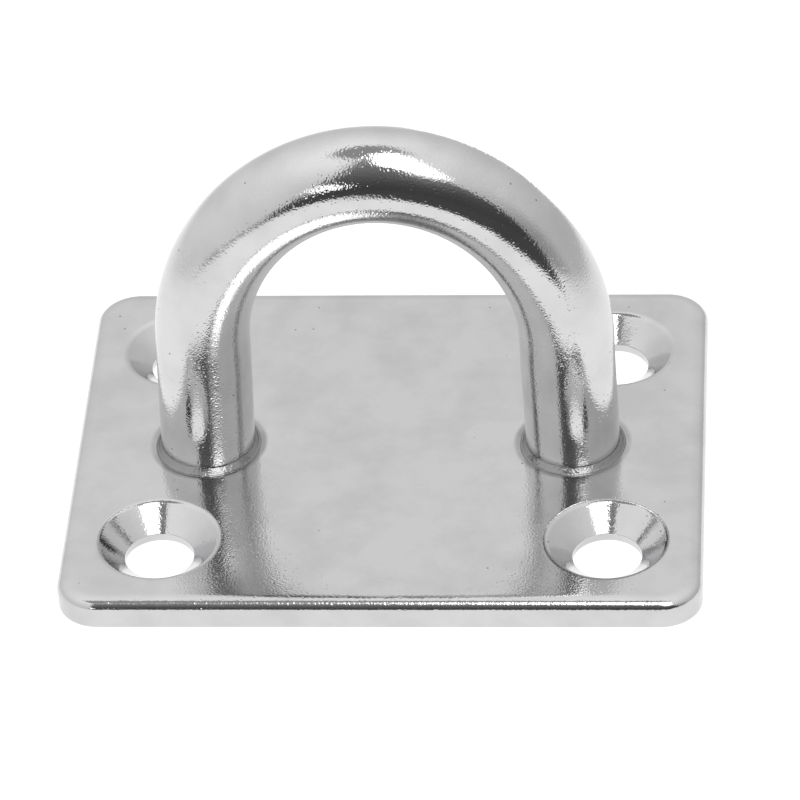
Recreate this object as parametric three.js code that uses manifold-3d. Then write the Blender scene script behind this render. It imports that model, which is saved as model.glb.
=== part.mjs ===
// Pad eye: a bow bent from round stainless rod, its two legs welded through a
// stamped plate that has four countersunk screw holes.
// Millimetres, +Z up. The origin is the centre of the plate's back face, X runs
// along the plate's long side and the bow stands in the XZ plane.
import * as THREE from "three";
import { mergeVertices } from "three/addons/utils/BufferGeometryUtils.js";
import Module from "manifold-3d";

const wasm = await Module();
wasm.setup();

// Plate
const PLATE_LENGTH = 50;
const PLATE_WIDTH = 40;
const PLATE_THICKNESS = 2.4;
const PLATE_CORNER_RADIUS = 3.3;
const TOP_EDGE_RADIUS = 0.8;
const BACK_EDGE_RADIUS = 0.2;

// Screw holes, each with a countersink
const SCREW_PITCH_X = 35;
const SCREW_PITCH_Y = 24.2;
const SCREW_HOLE_RADIUS = 2.7;
const COUNTERSINK_RADIUS = 4.75;
const COUNTERSINK_ANGLE = 100; // degrees, wall to wall

// Bow. Heights are measured from the plate's top face.
const ROD_RADIUS = 3.75;
const LEG_SPACING = 29;
const LEG_HEIGHT = 10.2;
const ARCH_HALF_WIDTH = 14.3; // the legs lean in by a hair on the way up
const ARCH_RISE = 16;
const LEG_SHARE = 0.2; // of the curve's parameter, on each leg

// Welds
const FIT_GAP = 0.3; // between the rod, the plate and the back weld
const TOP_WELD_TOE = 0.6; // how far the fillet reaches out from the rod
const TOP_WELD_RISE = 0.5;
const TOP_WELD_GAP = 0.1; // clear of the rod and of the plate's top face
const BACK_WELD_PREP = 1.6; // the chamfer that the back weld fills
const BACK_GRIND_DEPTH = 0.1; // rod ends and back welds stop short of the back face

// How finely round shapes are faceted
const CORNER_SEGMENTS = 6;
const ROUND_SEGMENTS = 32;
const ROD_HALF_SIDES = 12;
const ROD_STEPS = 44;
const CUT_CLEARANCE = 1; // how far a cutting shape runs past a face

const steel = (name, color, roughness) =>
  new THREE.MeshStandardMaterial({ name, color, roughness, metalness: 1 });
const plateSteel = steel("electropolished stainless sheet", 0xcfcfcf, 0.3);
const rodSteel = steel("electropolished stainless rod", 0xd2d2d2, 0.25);
const weldSteel = steel("electropolished stainless weld", 0xbdbdbd, 0.35);

function toSolid(geometry) {
  const bare = geometry.clone();
  bare.deleteAttribute("normal");
  bare.deleteAttribute("uv");
  const merged = mergeVertices(bare, 1e-3);
  return new wasm.Manifold(
    new wasm.Mesh({
      numProp: 3,
      vertProperties: merged.attributes.position.array,
      triVerts: new Uint32Array(merged.index.array),
    }),
  );
}

function toGeometry(solid) {
  const mesh = solid.getMesh();
  const geometry = new THREE.BufferGeometry();
  const positions = new THREE.BufferAttribute(mesh.vertProperties, 3);
  geometry.setAttribute("position", positions);
  geometry.setIndex(new THREE.BufferAttribute(mesh.triVerts, 1));
  geometry.computeVertexNormals();
  return geometry;
}

function namedMesh(name, geometry, material) {
  const mesh = new THREE.Mesh(geometry, material);
  mesh.name = name;
  return mesh;
}

// A profile of [radius, height] points turned about the Z axis.
function turned(profile) {
  const points = profile.map(([radius, height]) => new THREE.Vector2(radius, height));
  const geometry = new THREE.LatheGeometry(points, ROUND_SEGMENTS);
  geometry.rotateX(Math.PI / 2);
  return geometry;
}

// The plate's outline, moved in from its sides by the given amount.
function plateOutline(inset) {
  const halfX = PLATE_LENGTH / 2 - inset;
  const halfY = PLATE_WIDTH / 2 - inset;
  const radius = PLATE_CORNER_RADIUS - inset;
  const quarter = Math.PI / 2;
  const shape = new THREE.Shape();
  shape.absarc(halfX - radius, halfY - radius, radius, 0, quarter);
  shape.absarc(radius - halfX, halfY - radius, radius, quarter, 2 * quarter);
  shape.absarc(radius - halfX, radius - halfY, radius, 2 * quarter, 3 * quarter);
  shape.absarc(halfX - radius, radius - halfY, radius, 3 * quarter, 4 * quarter);
  return shape;
}

// The plate's outline between two heights, with both edges rounded.
function roundedSlab(edgeRadius, low, high) {
  const geometry = new THREE.ExtrudeGeometry(plateOutline(edgeRadius), {
    depth: high - low - 2 * edgeRadius,
    bevelThickness: edgeRadius,
    bevelSize: edgeRadius,
    bevelSegments: 4,
    curveSegments: CORNER_SEGMENTS,
  });
  geometry.translate(0, 0, low + edgeRadius);
  return toSolid(geometry);
}

function screwHoleCutter(x, y) {
  const slope = 1 / Math.tan((COUNTERSINK_ANGLE / 2) * (Math.PI / 180));
  const coneDepth = (COUNTERSINK_RADIUS - SCREW_HOLE_RADIUS) * slope;
  const geometry = turned([
    [0, -CUT_CLEARANCE],
    [SCREW_HOLE_RADIUS, -CUT_CLEARANCE],
    [SCREW_HOLE_RADIUS, PLATE_THICKNESS - coneDepth],
    [COUNTERSINK_RADIUS + CUT_CLEARANCE, PLATE_THICKNESS + CUT_CLEARANCE * slope],
    [0, PLATE_THICKNESS + CUT_CLEARANCE * slope],
  ]);
  geometry.translate(x, y, 0);
  return toSolid(geometry);
}

// A leg hole with a chamfer at the back for the weld.
function legHoleCutter(x) {
  const radius = ROD_RADIUS + FIT_GAP;
  const geometry = turned([
    [0, -CUT_CLEARANCE],
    [radius + BACK_WELD_PREP + CUT_CLEARANCE, -CUT_CLEARANCE],
    [radius, BACK_WELD_PREP],
    [radius, PLATE_THICKNESS + CUT_CLEARANCE],
    [0, PLATE_THICKNESS + CUT_CLEARANCE],
  ]);
  geometry.translate(x, 0, 0);
  return toSolid(geometry);
}

function basePlate() {
  const below = -2 * TOP_EDGE_RADIUS;
  const above = PLATE_THICKNESS + 2 * TOP_EDGE_RADIUS;
  const roundedTop = roundedSlab(TOP_EDGE_RADIUS, below, PLATE_THICKNESS);
  const roundedBack = roundedSlab(BACK_EDGE_RADIUS, 0, above);
  let plate = roundedTop.intersect(roundedBack);
  for (const sideX of [-1, 1]) {
    plate = plate.subtract(legHoleCutter((sideX * LEG_SPACING) / 2));
    for (const sideY of [-1, 1]) {
      const x = (sideX * SCREW_PITCH_X) / 2;
      const y = (sideY * SCREW_PITCH_Y) / 2;
      plate = plate.subtract(screwHoleCutter(x, y));
    }
  }
  return namedMesh("base_plate", toGeometry(plate), plateSteel);
}

// The rod's centreline: up the left leg, over a half ellipse and down the right leg.
class BowCurve extends THREE.Curve {
  getPoint(t, target = new THREE.Vector3()) {
    const side = t < 0.5 ? -1 : 1;
    const along = Math.min(t, 1 - t); // 0 at a rod end, 0.5 at the crown
    const archFoot = PLATE_THICKNESS + LEG_HEIGHT;
    if (along < LEG_SHARE) {
      const z = BACK_GRIND_DEPTH + (along / LEG_SHARE) * (archFoot - BACK_GRIND_DEPTH);
      const lean = THREE.MathUtils.smoothstep(z, PLATE_THICKNESS, archFoot);
      const x = THREE.MathUtils.lerp(LEG_SPACING / 2, ARCH_HALF_WIDTH, lean);
      return target.set(side * x, 0, z);
    }
    const angle = ((along - LEG_SHARE) / (0.5 - LEG_SHARE)) * (Math.PI / 2);
    const x = ARCH_HALF_WIDTH * Math.cos(angle);
    const z = archFoot + ARCH_RISE * Math.sin(angle);
    return target.set(side * x, 0, z);
  }
}

function eyeBow() {
  const section = new THREE.Shape();
  section.absarc(0, 0, ROD_RADIUS, 0, 2 * Math.PI);
  const geometry = new THREE.ExtrudeGeometry(section, {
    steps: ROD_STEPS,
    curveSegments: ROD_HALF_SIDES,
    extrudePath: new BowCurve(),
  });
  return namedMesh("eye_bow", geometry, rodSteel);
}

// A concave fillet where a leg leaves the plate's top face.
function topWeld(name, x) {
  const inner = ROD_RADIUS + TOP_WELD_GAP;
  const toe = ROD_RADIUS + TOP_WELD_TOE;
  const low = PLATE_THICKNESS + TOP_WELD_GAP;
  const high = PLATE_THICKNESS + TOP_WELD_RISE;
  const profile = [
    [inner, low],
    [toe, low],
  ];
  const arcSteps = 3;
  for (let step = 1; step <= arcSteps; step += 1) {
    const angle = (step / arcSteps) * (Math.PI / 2);
    const radius = toe - (toe - inner) * Math.sin(angle);
    profile.push([radius, high - (high - low) * Math.cos(angle)]);
  }
  profile.push([inner, low]);
  const mesh = namedMesh(name, turned(profile), weldSteel);
  mesh.position.x = x;
  return mesh;
}

// The ring of weld that fills the chamfer round a leg, ground off flush.
function backWeld(name, x) {
  const inner = ROD_RADIUS + FIT_GAP;
  const slopeGap = FIT_GAP * Math.SQRT2;
  const width = BACK_WELD_PREP - BACK_GRIND_DEPTH - slopeGap;
  const profile = [
    [inner, BACK_GRIND_DEPTH],
    [inner + width, BACK_GRIND_DEPTH],
    [inner, BACK_GRIND_DEPTH + width],
    [inner, BACK_GRIND_DEPTH],
  ];
  const mesh = namedMesh(name, turned(profile), weldSteel);
  mesh.position.x = x;
  return mesh;
}

const padEye = new THREE.Group();
padEye.name = "pad_eye";
padEye.add(basePlate());
padEye.add(eyeBow());
for (const [sideName, side] of [["left", -1], ["right", 1]]) {
  const legX = (side * LEG_SPACING) / 2;
  padEye.add(topWeld(`top_weld_${sideName}`, legX));
  padEye.add(backWeld(`back_weld_${sideName}`, legX));
}

export default padEye;
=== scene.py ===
import math

import bmesh
import bpy
import numpy as np
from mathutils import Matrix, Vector, noise


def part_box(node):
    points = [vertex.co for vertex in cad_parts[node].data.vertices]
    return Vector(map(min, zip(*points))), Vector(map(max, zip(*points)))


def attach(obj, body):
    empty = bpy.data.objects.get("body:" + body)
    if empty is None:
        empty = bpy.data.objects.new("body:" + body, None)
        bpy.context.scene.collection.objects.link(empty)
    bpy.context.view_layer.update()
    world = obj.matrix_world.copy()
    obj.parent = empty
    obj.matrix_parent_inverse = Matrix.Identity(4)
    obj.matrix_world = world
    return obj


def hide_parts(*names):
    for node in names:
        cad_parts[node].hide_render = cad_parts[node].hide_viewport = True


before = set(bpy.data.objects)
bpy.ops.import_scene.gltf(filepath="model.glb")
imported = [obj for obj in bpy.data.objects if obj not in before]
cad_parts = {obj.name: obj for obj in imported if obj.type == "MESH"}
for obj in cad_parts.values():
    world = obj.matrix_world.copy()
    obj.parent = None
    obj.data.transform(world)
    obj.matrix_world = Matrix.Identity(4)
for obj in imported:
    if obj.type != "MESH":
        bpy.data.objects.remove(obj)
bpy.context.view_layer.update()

mm = 0.001
print("pad eye: frame loaded")


def fromHex(code):
    # sRGB hex to linear colour
    channels = [int(code[i:i + 2], 16) / 255 for i in (1, 3, 5)]
    linear = [c / 12.92 if c <= 0.04045 else ((c + 0.055) / 1.055) ** 2.4 for c in channels]
    return (*linear, 1.0)


def past(value, edge, width):
    # 0 below the edge and 1 above it, eased over the width on both sides
    share = np.clip((value - edge + width) / (2 * width), 0, 1)
    return share * share * (3 - 2 * share)


def addNode(tree, kind, inputs=None, **settings):
    # one node with its settings; an input is either a value or another node's output
    node = tree.nodes.new(kind)
    for name, value in settings.items():
        setattr(node, name, value)
    for name, value in (inputs or {}).items():
        if isinstance(value, bpy.types.NodeSocket):
            tree.links.new(value, node.inputs[name])
        else:
            node.inputs[name].default_value = value
    return node


# sizes that the frame gives
plateLow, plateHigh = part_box("base_plate")
bowLow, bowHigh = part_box("eye_bow")
weldLow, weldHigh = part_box("top_weld_right")
backLow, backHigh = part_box("back_weld_right")
plateTop = plateHigh.z
rodRadius = (bowHigh.y - bowLow.y) / 2
legX = (weldLow.x + weldHigh.x) / 2
crownZ = bowHigh.z - rodRadius
weldReach = weldHigh.x - legX
backReach = backHigh.x - legX

# Stainless steel, 304 or 316, electropolished after welding. The bath takes the tops off the mill
# finish, so it is nearly a mirror, with a faint pebble and small etched pits left in it: they break the
# edge of every reflection and catch the lamp as bright dots where the steel is dark.
finish = {
    # depths in mm; the wave is a slow unevenness, given as (size, depth)
    "sheet": {"color": "#d1d1d2", "roughness": 0.09, "pebble": 0.0080, "pit": 0.005, "wave": (3.0, 0.012)},
    "rod": {"color": "#d6d6d6", "roughness": 0.06, "pebble": 0.0110, "pit": 0.009, "wave": (3.0, 0.016)},
    "weld": {"color": "#989797", "roughness": 0.20, "pebble": 0.0200, "pit": 0.014, "wave": (0.6, 0.050)},
    "ground": {"color": "#bababa", "roughness": 0.30, "pebble": 0.0100, "pit": 0.010, "wave": (0.6, 0.010)},
    "pebbleSize": 0.17,           # mm; the real grain is nearer 0.05 and would not show
    "pitSpacing": 0.34,           # mm
    "pitRadius": 0.42,            # as a share of the spacing
    "pitted": 0.50,               # share of the places that have a pit
    "grainDetail": 1.0,
    "smudgeSize": 4.0,            # mm, of the patches that wiping leaves
    "smudgeDetail": 5.0,
    "noiseRoughness": 0.55,
    "smudgeEdges": (0.35, 0.60),  # of the noise: dull below, clean above
    "smudgeShade": 0.90,
    "glossEdges": (0.35, 0.65),
    "glossSpread": (1.25, 0.85),  # roughness of dull and of clean steel, as shares
    "speckSpacing": 1.6,          # mm
    "speckRadius": 0.055,         # as a share of the spacing
    "specked": 0.45,
    "speckColor": "#8e8e8e",
    # the plate is coloured darker round each weld's toe, fading out over this reach and patchy with the
    # smudges
    "toeDarkColor": "#a0a0a1",
    "toeDarkReach": 0.6 * mm,        # beyond the weld's toe
    "toeDarkEdges": (0.12, 0.62),
}


def pitHeight(tree, inMm):
    # 0 at the bottom of a pit and 1 on the level steel
    cells = addNode(tree, "ShaderNodeTexVoronoi", {"Vector": inMm, "Scale": 1 / finish["pitSpacing"]})
    bowl = addNode(tree, "ShaderNodeMapRange", {
        "Value": cells.outputs["Distance"], "From Min": 0.0, "From Max": finish["pitRadius"]},
        interpolation_type="SMOOTHSTEP").outputs[0]
    chance = addNode(tree, "ShaderNodeSeparateColor", {"Color": cells.outputs["Color"]}).outputs[0]
    level = addNode(tree, "ShaderNodeMath", {0: chance, 1: finish["pitted"]},
                    operation="GREATER_THAN").outputs[0]
    return addNode(tree, "ShaderNodeMath", {0: bowl, 1: level}, operation="MAXIMUM").outputs[0]


def speckShare(tree, inMm):
    # 1 in a speck and 0 elsewhere
    cells = addNode(tree, "ShaderNodeTexVoronoi", {"Vector": inMm, "Scale": 1 / finish["speckSpacing"]})
    close = addNode(tree, "ShaderNodeMath", {0: cells.outputs["Distance"], 1: finish["speckRadius"]},
                    operation="LESS_THAN").outputs[0]
    chance = addNode(tree, "ShaderNodeSeparateColor", {"Color": cells.outputs["Color"]}).outputs[1]
    picked = addNode(tree, "ShaderNodeMath", {0: chance, 1: finish["specked"]},
                     operation="LESS_THAN").outputs[0]
    return addNode(tree, "ShaderNodeMath", {0: close, 1: picked}, operation="MULTIPLY").outputs[0]


def toeDarkShare(tree, place, smudge):
    # 1 on the weld's toe, where the plate is coloured darker, and patchy a little way out
    mirrored = addNode(tree, "ShaderNodeVectorMath", {0: place}, operation="ABSOLUTE").outputs[0]
    flat = addNode(tree, "ShaderNodeVectorMath", {0: mirrored, 1: (1, 1, 0)},
                   operation="MULTIPLY").outputs[0]
    away = addNode(tree, "ShaderNodeVectorMath", {0: flat, 1: (legX, 0, 0)}, operation="DISTANCE")
    fade = addNode(tree, "ShaderNodeMapRange", {
        "Value": away.outputs["Value"],
        "From Min": weldReach, "From Max": weldReach + finish["toeDarkReach"],
        "To Min": 1.0, "To Max": 0.0}, interpolation_type="SMOOTHSTEP").outputs[0]
    patchy = addNode(tree, "ShaderNodeMath", {0: fade, 1: smudge}, operation="MULTIPLY").outputs[0]
    weak, full = finish["toeDarkEdges"]
    return addNode(tree, "ShaderNodeMapRange", {
        "Value": patchy, "From Min": weak, "From Max": full}).outputs[0]


def polishedStainless(name, look, darkAtToes=False):
    material = bpy.data.materials.new(name)
    material.use_nodes = True
    tree = material.node_tree
    tree.nodes.clear()
    place = addNode(tree, "ShaderNodeTexCoord").outputs["Object"]
    inMm = addNode(tree, "ShaderNodeVectorMath", {0: place, 1: (1 / mm, 1 / mm, 1 / mm)},
                   operation="MULTIPLY").outputs[0]
    waveSize, waveDepth = look["wave"]
    wave, pebble, smudge = [
        addNode(tree, "ShaderNodeTexNoise", {
            "Vector": inMm, "Scale": 1 / size, "Detail": detail,
            "Roughness": finish["noiseRoughness"]}).outputs["Fac"]
        for size, detail in ((waveSize, finish["grainDetail"]),
                             (finish["pebbleSize"], finish["grainDetail"]),
                             (finish["smudgeSize"], finish["smudgeDetail"]))]
    reliefs = ((wave, waveDepth), (pebble, look["pebble"]), (pitHeight(tree, inMm), look["pit"]))
    bump = None
    for height, depth in reliefs:
        inputs = {"Height": height, "Distance": depth * mm, "Strength": 1.0}
        if bump:
            inputs["Normal"] = bump.outputs[0]
        bump = addNode(tree, "ShaderNodeBump", inputs)
    dullest, cleanest = finish["smudgeEdges"]
    clean = addNode(tree, "ShaderNodeMapRange", {
        "Value": smudge, "From Min": dullest, "From Max": cleanest}).outputs[0]
    base = fromHex(look["color"])
    dull = tuple(channel * finish["smudgeShade"] for channel in base[:3]) + (1.0,)
    color = addNode(tree, "ShaderNodeMix", {"Factor": clean, "A": dull, "B": base}, data_type="RGBA")
    # dust specks, and on the sheet a darker colour round each weld's toe
    marks = [(speckShare(tree, inMm), finish["speckColor"])]
    if darkAtToes:
        marks.append((toeDarkShare(tree, place, smudge), finish["toeDarkColor"]))
    for share, markColor in marks:
        color = addNode(tree, "ShaderNodeMix", {
            "Factor": share, "A": color.outputs["Result"], "B": fromHex(markColor)}, data_type="RGBA")
    dullest, cleanest = finish["glossEdges"]
    dullSpread, cleanSpread = finish["glossSpread"]
    roughness = addNode(tree, "ShaderNodeMapRange", {
        "Value": smudge, "From Min": dullest, "From Max": cleanest,
        "To Min": look["roughness"] * dullSpread, "To Max": look["roughness"] * cleanSpread})
    steel = addNode(tree, "ShaderNodeBsdfPrincipled", {
        "Metallic": 1.0, "Roughness": roughness.outputs[0], "Normal": bump.outputs[0],
        "Base Color": color.outputs["Result"]})
    addNode(tree, "ShaderNodeOutputMaterial", {"Surface": steel.outputs[0]})
    return material


sheetSteel = polishedStainless("electropolishedStainlessSheet", finish["sheet"], darkAtToes=True)
rodSteel = polishedStainless("electropolishedStainlessRod", finish["rod"])
weldSteel = polishedStainless("electropolishedStainlessWeld", finish["weld"])
groundSteel = polishedStainless("groundStainlessWeld", finish["ground"])
print("pad eye: finishes made")


def addPiece(name, vertices, faces, normals, material, node):
    mesh = bpy.data.meshes.new(name)
    mesh.from_pydata([tuple(v) for v in vertices], [], faces)
    mesh.shade_smooth()
    if normals:
        mesh.normals_split_custom_set_from_vertices([tuple(n) for n in normals])
    mesh.materials.append(material)
    piece = bpy.data.objects.new(name, mesh)
    bpy.context.scene.collection.objects.link(piece)
    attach(piece, "root")
    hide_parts(node)
    return piece


plate = {
    "cornerRadius": 3.3 * mm,
    "topEdge": 0.75 * mm,
    "shoulder": 2.6 * mm,        # radius of the easing that the polishing leaves inside the top edge
    "shoulderTilt": 16,          # degrees at which it meets the edge
    "backEdge": 0.2 * mm,
    "screwX": 17.5 * mm,
    "screwY": 12.1 * mm,
    "screwRadius": 2.7 * mm,
    "sinkRadius": 4.75 * mm,
    "sinkTilt": 40,              # degrees from flat, for a 100 degree countersink
    "lip": 0.8 * mm,
    "knee": 0.12 * mm,
    "holeEdge": 0.1 * mm,
    "dishTilt": 3.5,             # degrees; welding draws the sheet down towards each leg
    "leftDish": 3.3 * mm,        # out from the rod
    "rightDish": 2.0 * mm,
    "legFit": 0.02 * mm,         # between the rod and the plate
    "prepReach": 0.4 * mm,       # of the back chamfer, beyond the box of the back weld
    "shoulderSteps": 5,
    "edgeSteps": 10,
    "smallSteps": 6,             # on the back edge and on a lip
    "kneeSteps": 4,              # on a knee and on a hole's back edge
    "dishSteps": 9,
    "cornerSteps": 16,
    "holeSteps": 112,
}


def arc(radius, fromTilt, toTilt, steps):
    # offsets (inwards, upwards) of a round measured from its centre, with the tilt of its surface
    tilts = [fromTilt + (toTilt - fromTilt) * i / steps for i in range(steps + 1)]
    return [(-radius * math.sin(math.radians(t)), radius * math.cos(math.radians(t)), t) for t in tilts]


def edgeProfile():
    # (inset, height, tilt) from the top face over the edge to the back; tilt 0 faces up and 180 down
    edge, shoulder, back, tilt = (plate[k] for k in ("topEdge", "shoulder", "backEdge", "shoulderTilt"))
    s, c = math.sin(math.radians(tilt)), math.cos(math.radians(tilt))
    dropped = (shoulder - edge) * (1 - c)
    profile = [(edge + (shoulder - edge) * s + x, plateTop - shoulder + z, t)
               for x, z, t in arc(shoulder, 0, tilt, plate["shoulderSteps"])]
    profile += [(edge + x, plateTop - dropped - edge + z, t)
                for x, z, t in arc(edge, tilt, 90, plate["edgeSteps"])[1:]]
    profile += [(back + x, back + z, t) for x, z, t in arc(back, 90, 180, plate["smallSteps"])]
    return profile


def sinkProfile():
    # (radius, height, tilt) down a countersink: rounded lip, cone, knee, short land, broken back edge
    tilt = plate["sinkTilt"]
    bend = math.tan(math.radians(tilt / 2))
    lip, knee, edge, hole = plate["lip"], plate["knee"], plate["holeEdge"], plate["screwRadius"]
    lipX = plate["sinkRadius"] + lip * bend
    profile = [(lipX + x, plateTop - lip + z, t) for x, z, t in arc(lip, 0, tilt, plate["smallSteps"])]
    kneeZ = plateTop - (plate["sinkRadius"] - hole) * math.tan(math.radians(tilt))
    kneeLow = kneeZ - knee * math.tan(math.radians((90 - tilt) / 2))
    profile += [(hole + knee + x, kneeLow + z, t) for x, z, t in arc(knee, tilt, 90, plate["kneeSteps"])]
    profile += [(hole + edge + x, edge + z, t) for x, z, t in arc(edge, 90, 180, plate["kneeSteps"])]
    return profile


def legHoleProfile(reach):
    # the hole that a leg goes through, in a faint dish, and opened out at the back for the weld
    hole = rodRadius + plate["legFit"]
    prep = backReach + plate["prepReach"]
    profile, z = [], plateTop
    for step in range(plate["dishSteps"] + 1):
        share = step / plate["dishSteps"]
        tilt = plate["dishTilt"] * share * share * (3 - 2 * share)
        z -= reach / plate["dishSteps"] * math.tan(math.radians(tilt))
        profile.append((rodRadius + reach + (hole - rodRadius - reach) * share, z, tilt))
    return profile + [(hole, prep - hole, 90), (prep, 0, 180)]


def outlineRing(inset, z):
    points, outward = [], []
    radius = plate["cornerRadius"]
    for quadrant, (sx, sy) in enumerate([(1, 1), (-1, 1), (-1, -1), (1, -1)]):
        centre = Vector((sx * (plateHigh.x - radius), sy * (plateHigh.y - radius), z))
        for step in range(plate["cornerSteps"] + 1):
            angle = math.radians(90 * (quadrant + step / plate["cornerSteps"]))
            away = Vector((math.cos(angle), math.sin(angle), 0))
            points.append(centre + away * (radius - inset))
            outward.append(away)
    return points, outward


def holeRing(x, y, radius, z):
    points, outward = [], []
    for step in range(plate["holeSteps"]):
        angle = 2 * math.pi * step / plate["holeSteps"]
        away = Vector((math.cos(angle), math.sin(angle), 0))
        points.append(Vector((x, y, z)) + away * radius)
        outward.append(-away)
    return points, outward


def buildPlate():
    bm = bmesh.new()
    normals = {}
    flatEdges = {1: [], -1: []}   # the rings that bound the top face and the back face

    def skin(rings, flip):
        made = []
        for (points, outward), tilt in rings:
            s, c = math.sin(math.radians(tilt)), math.cos(math.radians(tilt))
            ring = [bm.verts.new(p) for p in points]
            normals.update({v: away * s + Vector((0, 0, c)) for v, away in zip(ring, outward)})
            made.append(ring)
        for upper, lower in zip(made, made[1:]):
            for i, j in zip(range(len(upper)), list(range(1, len(upper))) + [0]):
                corners = (upper[i], lower[i], lower[j], upper[j])
                bm.faces.new(corners[::-1] if flip else corners)
        for side, ring in ((1, made[0]), (-1, made[-1])):
            flatEdges[side] += [bm.edges.get(pair) for pair in zip(ring, ring[1:] + ring[:1])]

    skin([(outlineRing(inset, z), tilt) for inset, z, tilt in edgeProfile()], False)
    holes = [(sx * plate["screwX"], sy * plate["screwY"], sinkProfile())
             for sx in (-1, 1) for sy in (-1, 1)]
    holes.append((-legX, 0, legHoleProfile(plate["leftDish"])))
    holes.append((legX, 0, legHoleProfile(plate["rightDish"])))
    for x, y, profile in holes:
        skin([(holeRing(x, y, radius, z), tilt) for radius, z, tilt in profile], True)
    for side, edges in flatEdges.items():
        filled = bmesh.ops.triangle_fill(bm, use_beauty=True, edges=edges, normal=(0, 0, side))
        for face in [g for g in filled["geom"] if isinstance(g, bmesh.types.BMFace)]:
            face.normal_update()
            if face.normal.z * side < 0:
                face.normal_flip()
    bm.verts.index_update()
    vertices = [v.co.copy() for v in bm.verts]
    faces = [[v.index for v in f.verts] for f in bm.faces]
    ordered = [normals[v] for v in bm.verts]
    bm.free()
    addPiece("basePlate", vertices, faces, ordered, sheetSteel, "base_plate")


buildPlate()
print("pad eye: plate made")

bow = {
    "archFoot": 10.2 * mm,       # above the plate's top face
    "archHalfWidth": 14.3 * mm,
    "legShare": 0.2,             # of the path's parameter, on each leg
    "unevenness": 0.012 * mm,    # how far the polished rod strays from round
    "unevenSize": 4.5 * mm,
    "pathSteps": 4000,
    "steps": 420,
    "sides": 96,
    "sharpAngle": 60,            # degrees; only the sawn ends are sharper
}


def bowCentre(t):
    # up the left leg, over a half ellipse and down the right leg
    side = -1 if t < 0.5 else 1
    along = min(t, 1 - t)
    foot = plateTop + bow["archFoot"]
    if along < bow["legShare"]:
        z = bowLow.z + (along / bow["legShare"]) * (foot - bowLow.z)
        up = min(max((z - plateTop) / bow["archFoot"], 0), 1)
        lean = up * up * (3 - 2 * up)
        return Vector((side * (legX + (bow["archHalfWidth"] - legX) * lean), 0, z))
    angle = (along - bow["legShare"]) / (0.5 - bow["legShare"]) * math.pi / 2
    x, z = bow["archHalfWidth"] * math.cos(angle), foot + (crownZ - foot) * math.sin(angle)
    return Vector((side * x, 0, z))


def evenSteps(points, count):
    # points at equal distances along a path
    lengths = np.cumsum([0] + [(b - a).length for a, b in zip(points, points[1:])])
    at = np.linspace(0, lengths[-1], count + 1)
    return [Vector([np.interp(s, lengths, [p[axis] for p in points]) for axis in range(3)]) for s in at]


def buildBow():
    sides, steps = bow["sides"], bow["steps"]
    path = np.linspace(0, 1, bow["pathSteps"] + 1)
    centres = evenSteps([bowCentre(t) for t in path], steps)
    vertices, faces = [], []
    for i, centre in enumerate(centres):
        along = (centres[min(i + 1, steps)] - centres[max(i - 1, 0)]).normalized()
        outward = Vector((-along.z, 0, along.x))
        for k in range(sides):
            angle = 2 * math.pi * k / sides
            away = outward * math.cos(angle) + Vector((0, 1, 0)) * math.sin(angle)
            dip = (noise.noise((centre + away * rodRadius) / bow["unevenSize"]) - 1) / 2
            vertices.append(centre + away * (rodRadius + dip * bow["unevenness"]))
    for i in range(steps):
        for k in range(sides):
            a, b = i * sides + k, i * sides + (k + 1) % sides
            faces.append((a, a + sides, b + sides, b))
    first, last = list(range(sides)), list(range(steps * sides, (steps + 1) * sides))
    faces.append(first)
    faces.append(last[::-1])
    piece = addPiece("eyeBow", vertices, faces, None, rodSteel, "eye_bow")
    piece.data.set_sharp_from_angle(angle=math.radians(bow["sharpAngle"]))


buildBow()
print("pad eye: bow made")

weld = {
    "rise": weldHigh.z - plateTop,
    "crease": 0.50 * mm,         # out from the rod, where the fillet dips before the bead's low crest
    "creaseDrop": 0.03 * mm,
    "crestRise": 0.03 * mm,
    "toeDrop": 0.04 * mm,
    "flank": 40,                 # degrees from flat, the slope of the fillet's face
    "toeSlope": 4,               # degrees that are left where it reaches the crease
    "turnOff": (0.12, 0.12),     # where along its face it turns off the rod, and how gently
    "turnOut": (0.88, 0.10),     # where it eases on to the plate
    "filletSteps": 24,
    "beadSteps": 12,
    "fused": 0.015 * mm,         # how far the fillet starts inside the rod
    "rooted": 0.12 * mm,         # how far its hidden back stands inside the rod
    "buried": 0.25 * mm,
    "unevenness": 0.06 * mm,
    "ripple": 2.2,               # waves of the unevenness, for each radian round the leg
    "narrowing": 0.14 * mm,      # how much less it reaches at the sides than at the front
    "backFused": 0.05 * mm,
    "backReach": 0.38 * mm,      # beyond the box of the back weld
    "backBevel": (0.08 * mm, 0.03 * mm),
    "sides": 160,
    "sharpAngle": 50,            # degrees
}


def turnRing(name, x, profile, material, node):
    # a closed profile of (radius, height, how much it wanders) turned round the leg at x
    sides, count = weld["sides"], len(profile)
    vertices, faces = [], []
    for k in range(sides):
        angle = 2 * math.pi * k / sides
        away = Vector((math.cos(angle), math.sin(angle), 0))
        place = away * weld["ripple"] + Vector((x / mm, 0, 0))
        wander = (noise.noise(place) + 0.5 * noise.noise(place * 3)) * weld["unevenness"]
        wander -= weld["narrowing"] * (1 - max(0, -away.y))
        vertices += [Vector((x, 0, z)) + away * (radius + wander * share)
                     for radius, z, share in profile]
    for k in range(sides):
        for i in range(count):
            here, there, j = k * count, (k + 1) % sides * count, (i + 1) % count
            faces.append((here + i, there + i, there + j, here + j))
    piece = addPiece(name, vertices, faces, None, material, node)
    piece.data.set_sharp_from_angle(angle=math.radians(weld["sharpAngle"]))


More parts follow.
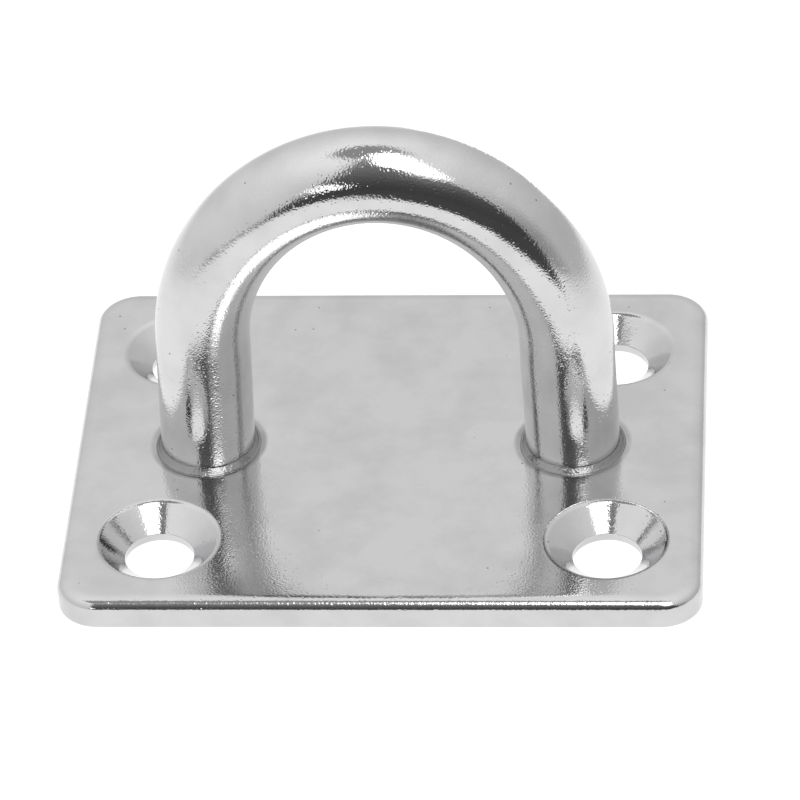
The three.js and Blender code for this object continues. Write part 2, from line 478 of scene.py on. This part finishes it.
def filletProfile(width, drop):
    # (outwards, downwards) from the rod: off the rod, down a flank and out on to the plate
    flank, steps = weld["flank"], weld["filletSteps"]
    points = [(0.0, 0.0)]
    for step in range(steps):
        share = (step + 0.5) / steps
        turned = (90 - flank) * past(share, *weld["turnOff"])
        eased = (flank - weld["toeSlope"]) * past(share, *weld["turnOut"])
        slope = math.radians(90 - turned - eased)
        points.append((points[-1][0] + math.cos(slope), points[-1][1] + math.sin(slope)))
    return [(x / points[-1][0] * width, z / points[-1][1] * drop) for x, z in points]


def topWeld(side, sx):
    # a fillet between rod and plate, a crease at its foot, and a low bead that dies into the plate
    root, start = rodRadius - weld["rooted"], rodRadius - weld["fused"]
    crease = rodRadius + weld["crease"]
    low, top = plateTop - weld["buried"], plateTop + weld["rise"]
    creaseZ, toeZ = plateTop - weld["creaseDrop"], plateTop - weld["toeDrop"]
    profile = [(root, low, 0), (root, top, 0)]
    for x, z in filletProfile(crease - start, top - creaseZ):
        profile.append((start + x, top - z, x / (crease - start)))
    for step in range(1, weld["beadSteps"] + 1):
        along = step / weld["beadSteps"]
        lift = weld["crestRise"] * math.sin(math.pi * along) ** 2
        z = creaseZ + (toeZ - creaseZ) * along + lift
        profile.append((crease + (weldReach - crease) * along, z, 1))
    profile.append((weldReach, low, 1))
    profile.reverse()
    turnRing(f"topWeld_{side}", sx * legX, profile, weldSteel, f"top_weld_{side}")


def backWeld(side, sx):
    # fills the chamfer round the leg and is ground off just short of the back face
    inner = rodRadius - weld["backFused"]
    outer = backReach + weld["backReach"]
    bevelX, bevelZ = weld["backBevel"]
    z = backLow.z
    profile = [(inner, z, 0), (outer - bevelX, z, 0), (outer, z + bevelZ, 0),
               (inner, z + outer - inner, 0)]
    turnRing(f"backWeld_{side}", sx * legX, profile, groundSteel, f"back_weld_{side}")


for side, sx in (("left", -1), ("right", 1)):
    topWeld(side, sx)
    backWeld(side, sx)
print("pad eye: welds made")

# A white light tent: the lens looks in through an opening at the front, and a softbox hangs overhead.
# Its light is painted on a dome and a floor sheet that only reflections and shading see. Light is 1 for
# white paper. Angles are in degrees: azimuth 0 is the front and 90 the right, elevation 90 is overhead.
# What hangs overhead is placed by (right, front, radius), in degrees from straight up.
tent = {
    "radius": 1.0,
    "wall": 0.74,
    "wallRight": 0.12,           # darker by this on the right
    "wallUp": 0.42,              # brighter by this overhead
    "shade": {"azimuths": (20, 66, 13), "top": (24, 20), "depth": 0.40},
    "opening": {"azimuths": (-22, 46, 3), "top": (38, 2.5), "slantFrom": 34, "slant": 1.8},
    "slot": {"left": -13, "leftLean": -0.30, "leftFrom": 29,
             "right": 4, "rightLean": 0.47, "rightFrom": 32, "edge": 2.5, "ends": (16, 60, 2)},
    "hood": {"start": (-5, -1, 16), "end": (-4, 1, 16), "edge": 3, "depth": 0.95},
    "dusk": {"light": 0.065, "up": 0.26, "right": 0.07, "elevation": (27, 8), "azimuth": (8, 6)},
    "softbox": {"bends": ((4, 10, 8), (9, 25, 11.5), (19.5, 36.5, 8.5)), "edge": 1.2, "light": 3.5,
                "fadeFrom": (46, 3), "fade": 0.6},
    "lamp": {"start": (-25.4, 67.5, 3.0), "end": (-20.5, 76.5, 4.5), "edge": 1.2, "light": 2.4},
    "columns": 480,
    "rows": 185,
    "elevations": (-2, 89.9),
}

# Distances are in millimetres from the object; a band is (from, to, width of its soft edge).
sheet = {
    "light": 1.10,
    "turnsUp": (115, 60),        # where it becomes the tent's wall
    "dark": 0.075,
    "front": {"azimuths": (-5, 46, 3), "from": (68, 6)},
    "side": {"azimuths": (-24, 46, 3), "from": (108, 12)},
    "seam": {"azimuths": (-56, -20, 6), "band": (112, 150, 12), "depth": 0.6},
    "spot": {"azimuths": (148, 178, 5), "band": (50, 220, 20), "light": 1.9},
    "fineReach": 260,
    "fineStep": 3,
    "coarseRings": 30,
}


def within(value, low, high, width):
    return past(value, low, width) * (1 - past(value, high, width))


def inCapsule(u, v, start, end, width):
    du, dv = end[0] - start[0], end[1] - start[1]
    share = np.clip(((u - start[0]) * du + (v - start[1]) * dv) / (du * du + dv * dv), 0, 1)
    away = np.hypot(u - start[0] - share * du, v - start[1] - share * dv)
    return 1 - past(away, start[2] + share * (end[2] - start[2]), width)


def wallLight(across, back, up):
    # darker to the right, brighter overhead, with a soft shade to the right of the opening
    shade = tent["shade"]
    azimuth = np.degrees(np.arctan2(across, -back))
    elevation = np.degrees(np.arcsin(np.clip(up, -1, 1)))
    light = tent["wall"] - tent["wallRight"] * across + tent["wallUp"] * up * up
    shaded = within(azimuth, *shade["azimuths"]) * (1 - past(elevation, *shade["top"]))
    return light * (1 - shade["depth"] * shaded)


def domeLight(across, back, up):
    opening, slot, hood, dusk = tent["opening"], tent["slot"], tent["hood"], tent["dusk"]
    softbox, lamp = tent["softbox"], tent["lamp"]
    azimuth = np.degrees(np.arctan2(across, -back))
    elevation = np.degrees(np.arcsin(np.clip(up, -1, 1)))
    u = (90 - elevation) * np.sin(np.radians(azimuth))
    v = (90 - elevation) * np.cos(np.radians(azimuth))

    slanted = elevation + opening["slant"] * np.maximum(azimuth - opening["slantFrom"], 0)
    inOpening = within(azimuth, *opening["azimuths"]) * (1 - past(slanted, *opening["top"]))
    slotLeft = slot["left"] + slot["leftLean"] * (v - slot["leftFrom"])
    slotRight = slot["right"] + slot["rightLean"] * (v - slot["rightFrom"])
    inSlot = past(u, slotLeft, slot["edge"]) * (1 - past(u, slotRight, slot["edge"]))
    inSlot = inSlot * within(v, *slot["ends"])
    inHood = hood["depth"] * inCapsule(u, v, hood["start"], hood["end"], hood["edge"])
    dark = np.maximum(np.maximum(inOpening, inSlot), inHood)
    gloom = dusk["light"] + dusk["up"] * up * up
    gloom += dusk["right"] * past(elevation, *dusk["elevation"]) * past(azimuth, *dusk["azimuth"])
    light = wallLight(across, back, up) * (1 - dark) + gloom * dark

    top, bend, low = softbox["bends"]
    inBox = np.maximum(inCapsule(u, v, top, bend, softbox["edge"]),
                       inCapsule(u, v, bend, low, softbox["edge"]))
    boxLight = softbox["light"] * (1 - softbox["fade"] * past(np.hypot(u, v), *softbox["fadeFrom"]))
    light = light * (1 - inBox) + boxLight * inBox
    inLamp = inCapsule(u, v, lamp["start"], lamp["end"], lamp["edge"])
    return light * (1 - inLamp) + lamp["light"] * inLamp


def sheetLight(x, y):
    # white near the object, turning to the tent's wall further out
    front, side, seam, spot = sheet["front"], sheet["side"], sheet["seam"], sheet["spot"]
    distance = np.maximum(np.hypot(x, y), 1e-6)
    azimuth = np.degrees(np.arctan2(x, -y))
    wall = wallLight(x / distance, y / distance, 0 * x)
    far = past(distance, *sheet["turnsUp"])
    light = sheet["light"] * (1 - far) + wall * far
    inFront = within(azimuth, *front["azimuths"]) * past(distance, *front["from"])
    inSide = within(azimuth, *side["azimuths"]) * past(distance, *side["from"])
    inSeam = seam["depth"] * within(azimuth, *seam["azimuths"]) * within(distance, *seam["band"])
    dark = np.maximum(np.maximum(inFront, inSide), inSeam)
    light = light * (1 - dark) + sheet["dark"] * dark
    inSpot = within(azimuth, *spot["azimuths"]) * within(distance, *spot["band"])
    return light * (1 - inSpot) + spot["light"] * inSpot


def glowing(name, points, faces, light):
    # a surface that shines by the amount painted on each of its points
    mesh = bpy.data.meshes.new(name)
    mesh.from_pydata([tuple(p) for p in points], [], faces)
    glow = mesh.attributes.new("glow", "FLOAT", "POINT")
    glow.data.foreach_set("value", np.asarray(light, dtype=np.float32))
    material = bpy.data.materials.new(name)
    material.use_nodes = True
    material.cycles.emission_sampling = "NONE"
    tree = material.node_tree
    tree.nodes.clear()
    painted = addNode(tree, "ShaderNodeAttribute", attribute_name="glow").outputs["Fac"]
    shine = addNode(tree, "ShaderNodeEmission", {"Color": (1, 1, 1, 1), "Strength": painted})
    addNode(tree, "ShaderNodeOutputMaterial", {"Surface": shine.outputs[0]})
    mesh.materials.append(material)
    item = bpy.data.objects.new(name, mesh)
    item.visible_camera = False
    bpy.context.scene.collection.objects.link(item)


def polarGrid(rows, columns):
    faces = []
    for i in range(rows - 1):
        near, far = i * columns, (i + 1) * columns
        for j in range(columns):
            k = (j + 1) % columns
            faces.append((near + j, near + k, far + k, far + j))
    return faces


def buildTent():
    columns, rows = tent["columns"], tent["rows"]
    turns = np.linspace(0, 2 * np.pi, columns, endpoint=False)
    lifts = np.radians(np.linspace(*tent["elevations"], rows))
    across, up = np.outer(np.cos(lifts), np.sin(turns)), np.outer(np.sin(lifts), np.ones(columns))
    back = -np.outer(np.cos(lifts), np.cos(turns))
    points = np.stack([across, back, up], -1).reshape(-1, 3) * tent["radius"]
    glowing("tentDome", points, polarGrid(rows, columns), domeLight(across, back, up).ravel())
    fine = np.arange(1, sheet["fineReach"], sheet["fineStep"])
    coarse = np.geomspace(sheet["fineReach"], tent["radius"] / mm, sheet["coarseRings"])
    distances = np.concatenate([fine, coarse])
    x, y = np.outer(distances, np.sin(turns)), -np.outer(distances, np.cos(turns))
    points = np.stack([x, y, 0 * x], -1).reshape(-1, 3) * mm
    glowing("tentSheet", points, polarGrid(len(distances), columns), sheetLight(x, y).ravel())


buildTent()

# The sheet as the lens sees it, and what is left of the room round the tent: both plain white.
room = {
    "floorReach": 4.0,
    "floorColor": "#808080",
    "floorRoughness": 0.9,
    "floorGlow": 1.0,            # bright enough to leave no shadow, as in a tent lit from all sides
    "roomGlow": 1.0,
}


def addFloor():
    reach = room["floorReach"]
    corners = [(-reach, -reach, 0), (reach, -reach, 0), (reach, reach, 0), (-reach, reach, 0)]
    mesh = bpy.data.meshes.new("floor")
    mesh.from_pydata(corners, [], [(0, 1, 2, 3)])
    material = bpy.data.materials.new("whitePaper")
    material.use_nodes = True
    tree = material.node_tree
    tree.nodes.clear()
    paper = addNode(tree, "ShaderNodeBsdfPrincipled", {
        "Base Color": fromHex(room["floorColor"]), "Roughness": room["floorRoughness"],
        "Specular IOR Level": 0.0,
        "Emission Color": (1, 1, 1, 1), "Emission Strength": room["floorGlow"]})
    addNode(tree, "ShaderNodeOutputMaterial", {"Surface": paper.outputs[0]})
    mesh.materials.append(material)
    floor = bpy.data.objects.new("floor", mesh)
    floor.visible_glossy = False
    bpy.context.scene.collection.objects.link(floor)


def addWorld():
    world = bpy.data.worlds.new("room")
    world.use_nodes = True
    background = world.node_tree.nodes["Background"]
    background.inputs["Color"].default_value = (1, 1, 1, 1)
    background.inputs["Strength"].default_value = room["roomGlow"]
    bpy.context.scene.world = world


addFloor()
addWorld()

cameraSetup = {
    "place": (32.51 * mm, -347.07 * mm, 278.75 * mm),
    "turn": (51.97, 2.63, 3.14),   # degrees
    "lens": 251.9,                 # mm
    "sensor": 36,
    "nearest": 0.01,
    "farthest": 20,
}


def addCamera():
    data = bpy.data.cameras.new("camera")
    data.sensor_width = cameraSetup["sensor"]
    data.lens = cameraSetup["lens"]
    data.clip_start = cameraSetup["nearest"]
    data.clip_end = cameraSetup["farthest"]
    camera = bpy.data.objects.new("camera", data)
    camera.location = cameraSetup["place"]
    camera.rotation_euler = [math.radians(a) for a in cameraSetup["turn"]]
    bpy.context.scene.collection.objects.link(camera)
    bpy.context.scene.camera = camera
    view = bpy.context.scene.view_settings
    view.view_transform = "Standard"
    view.look = "None"


addCamera()
print("pad eye: tent, floor and camera made")
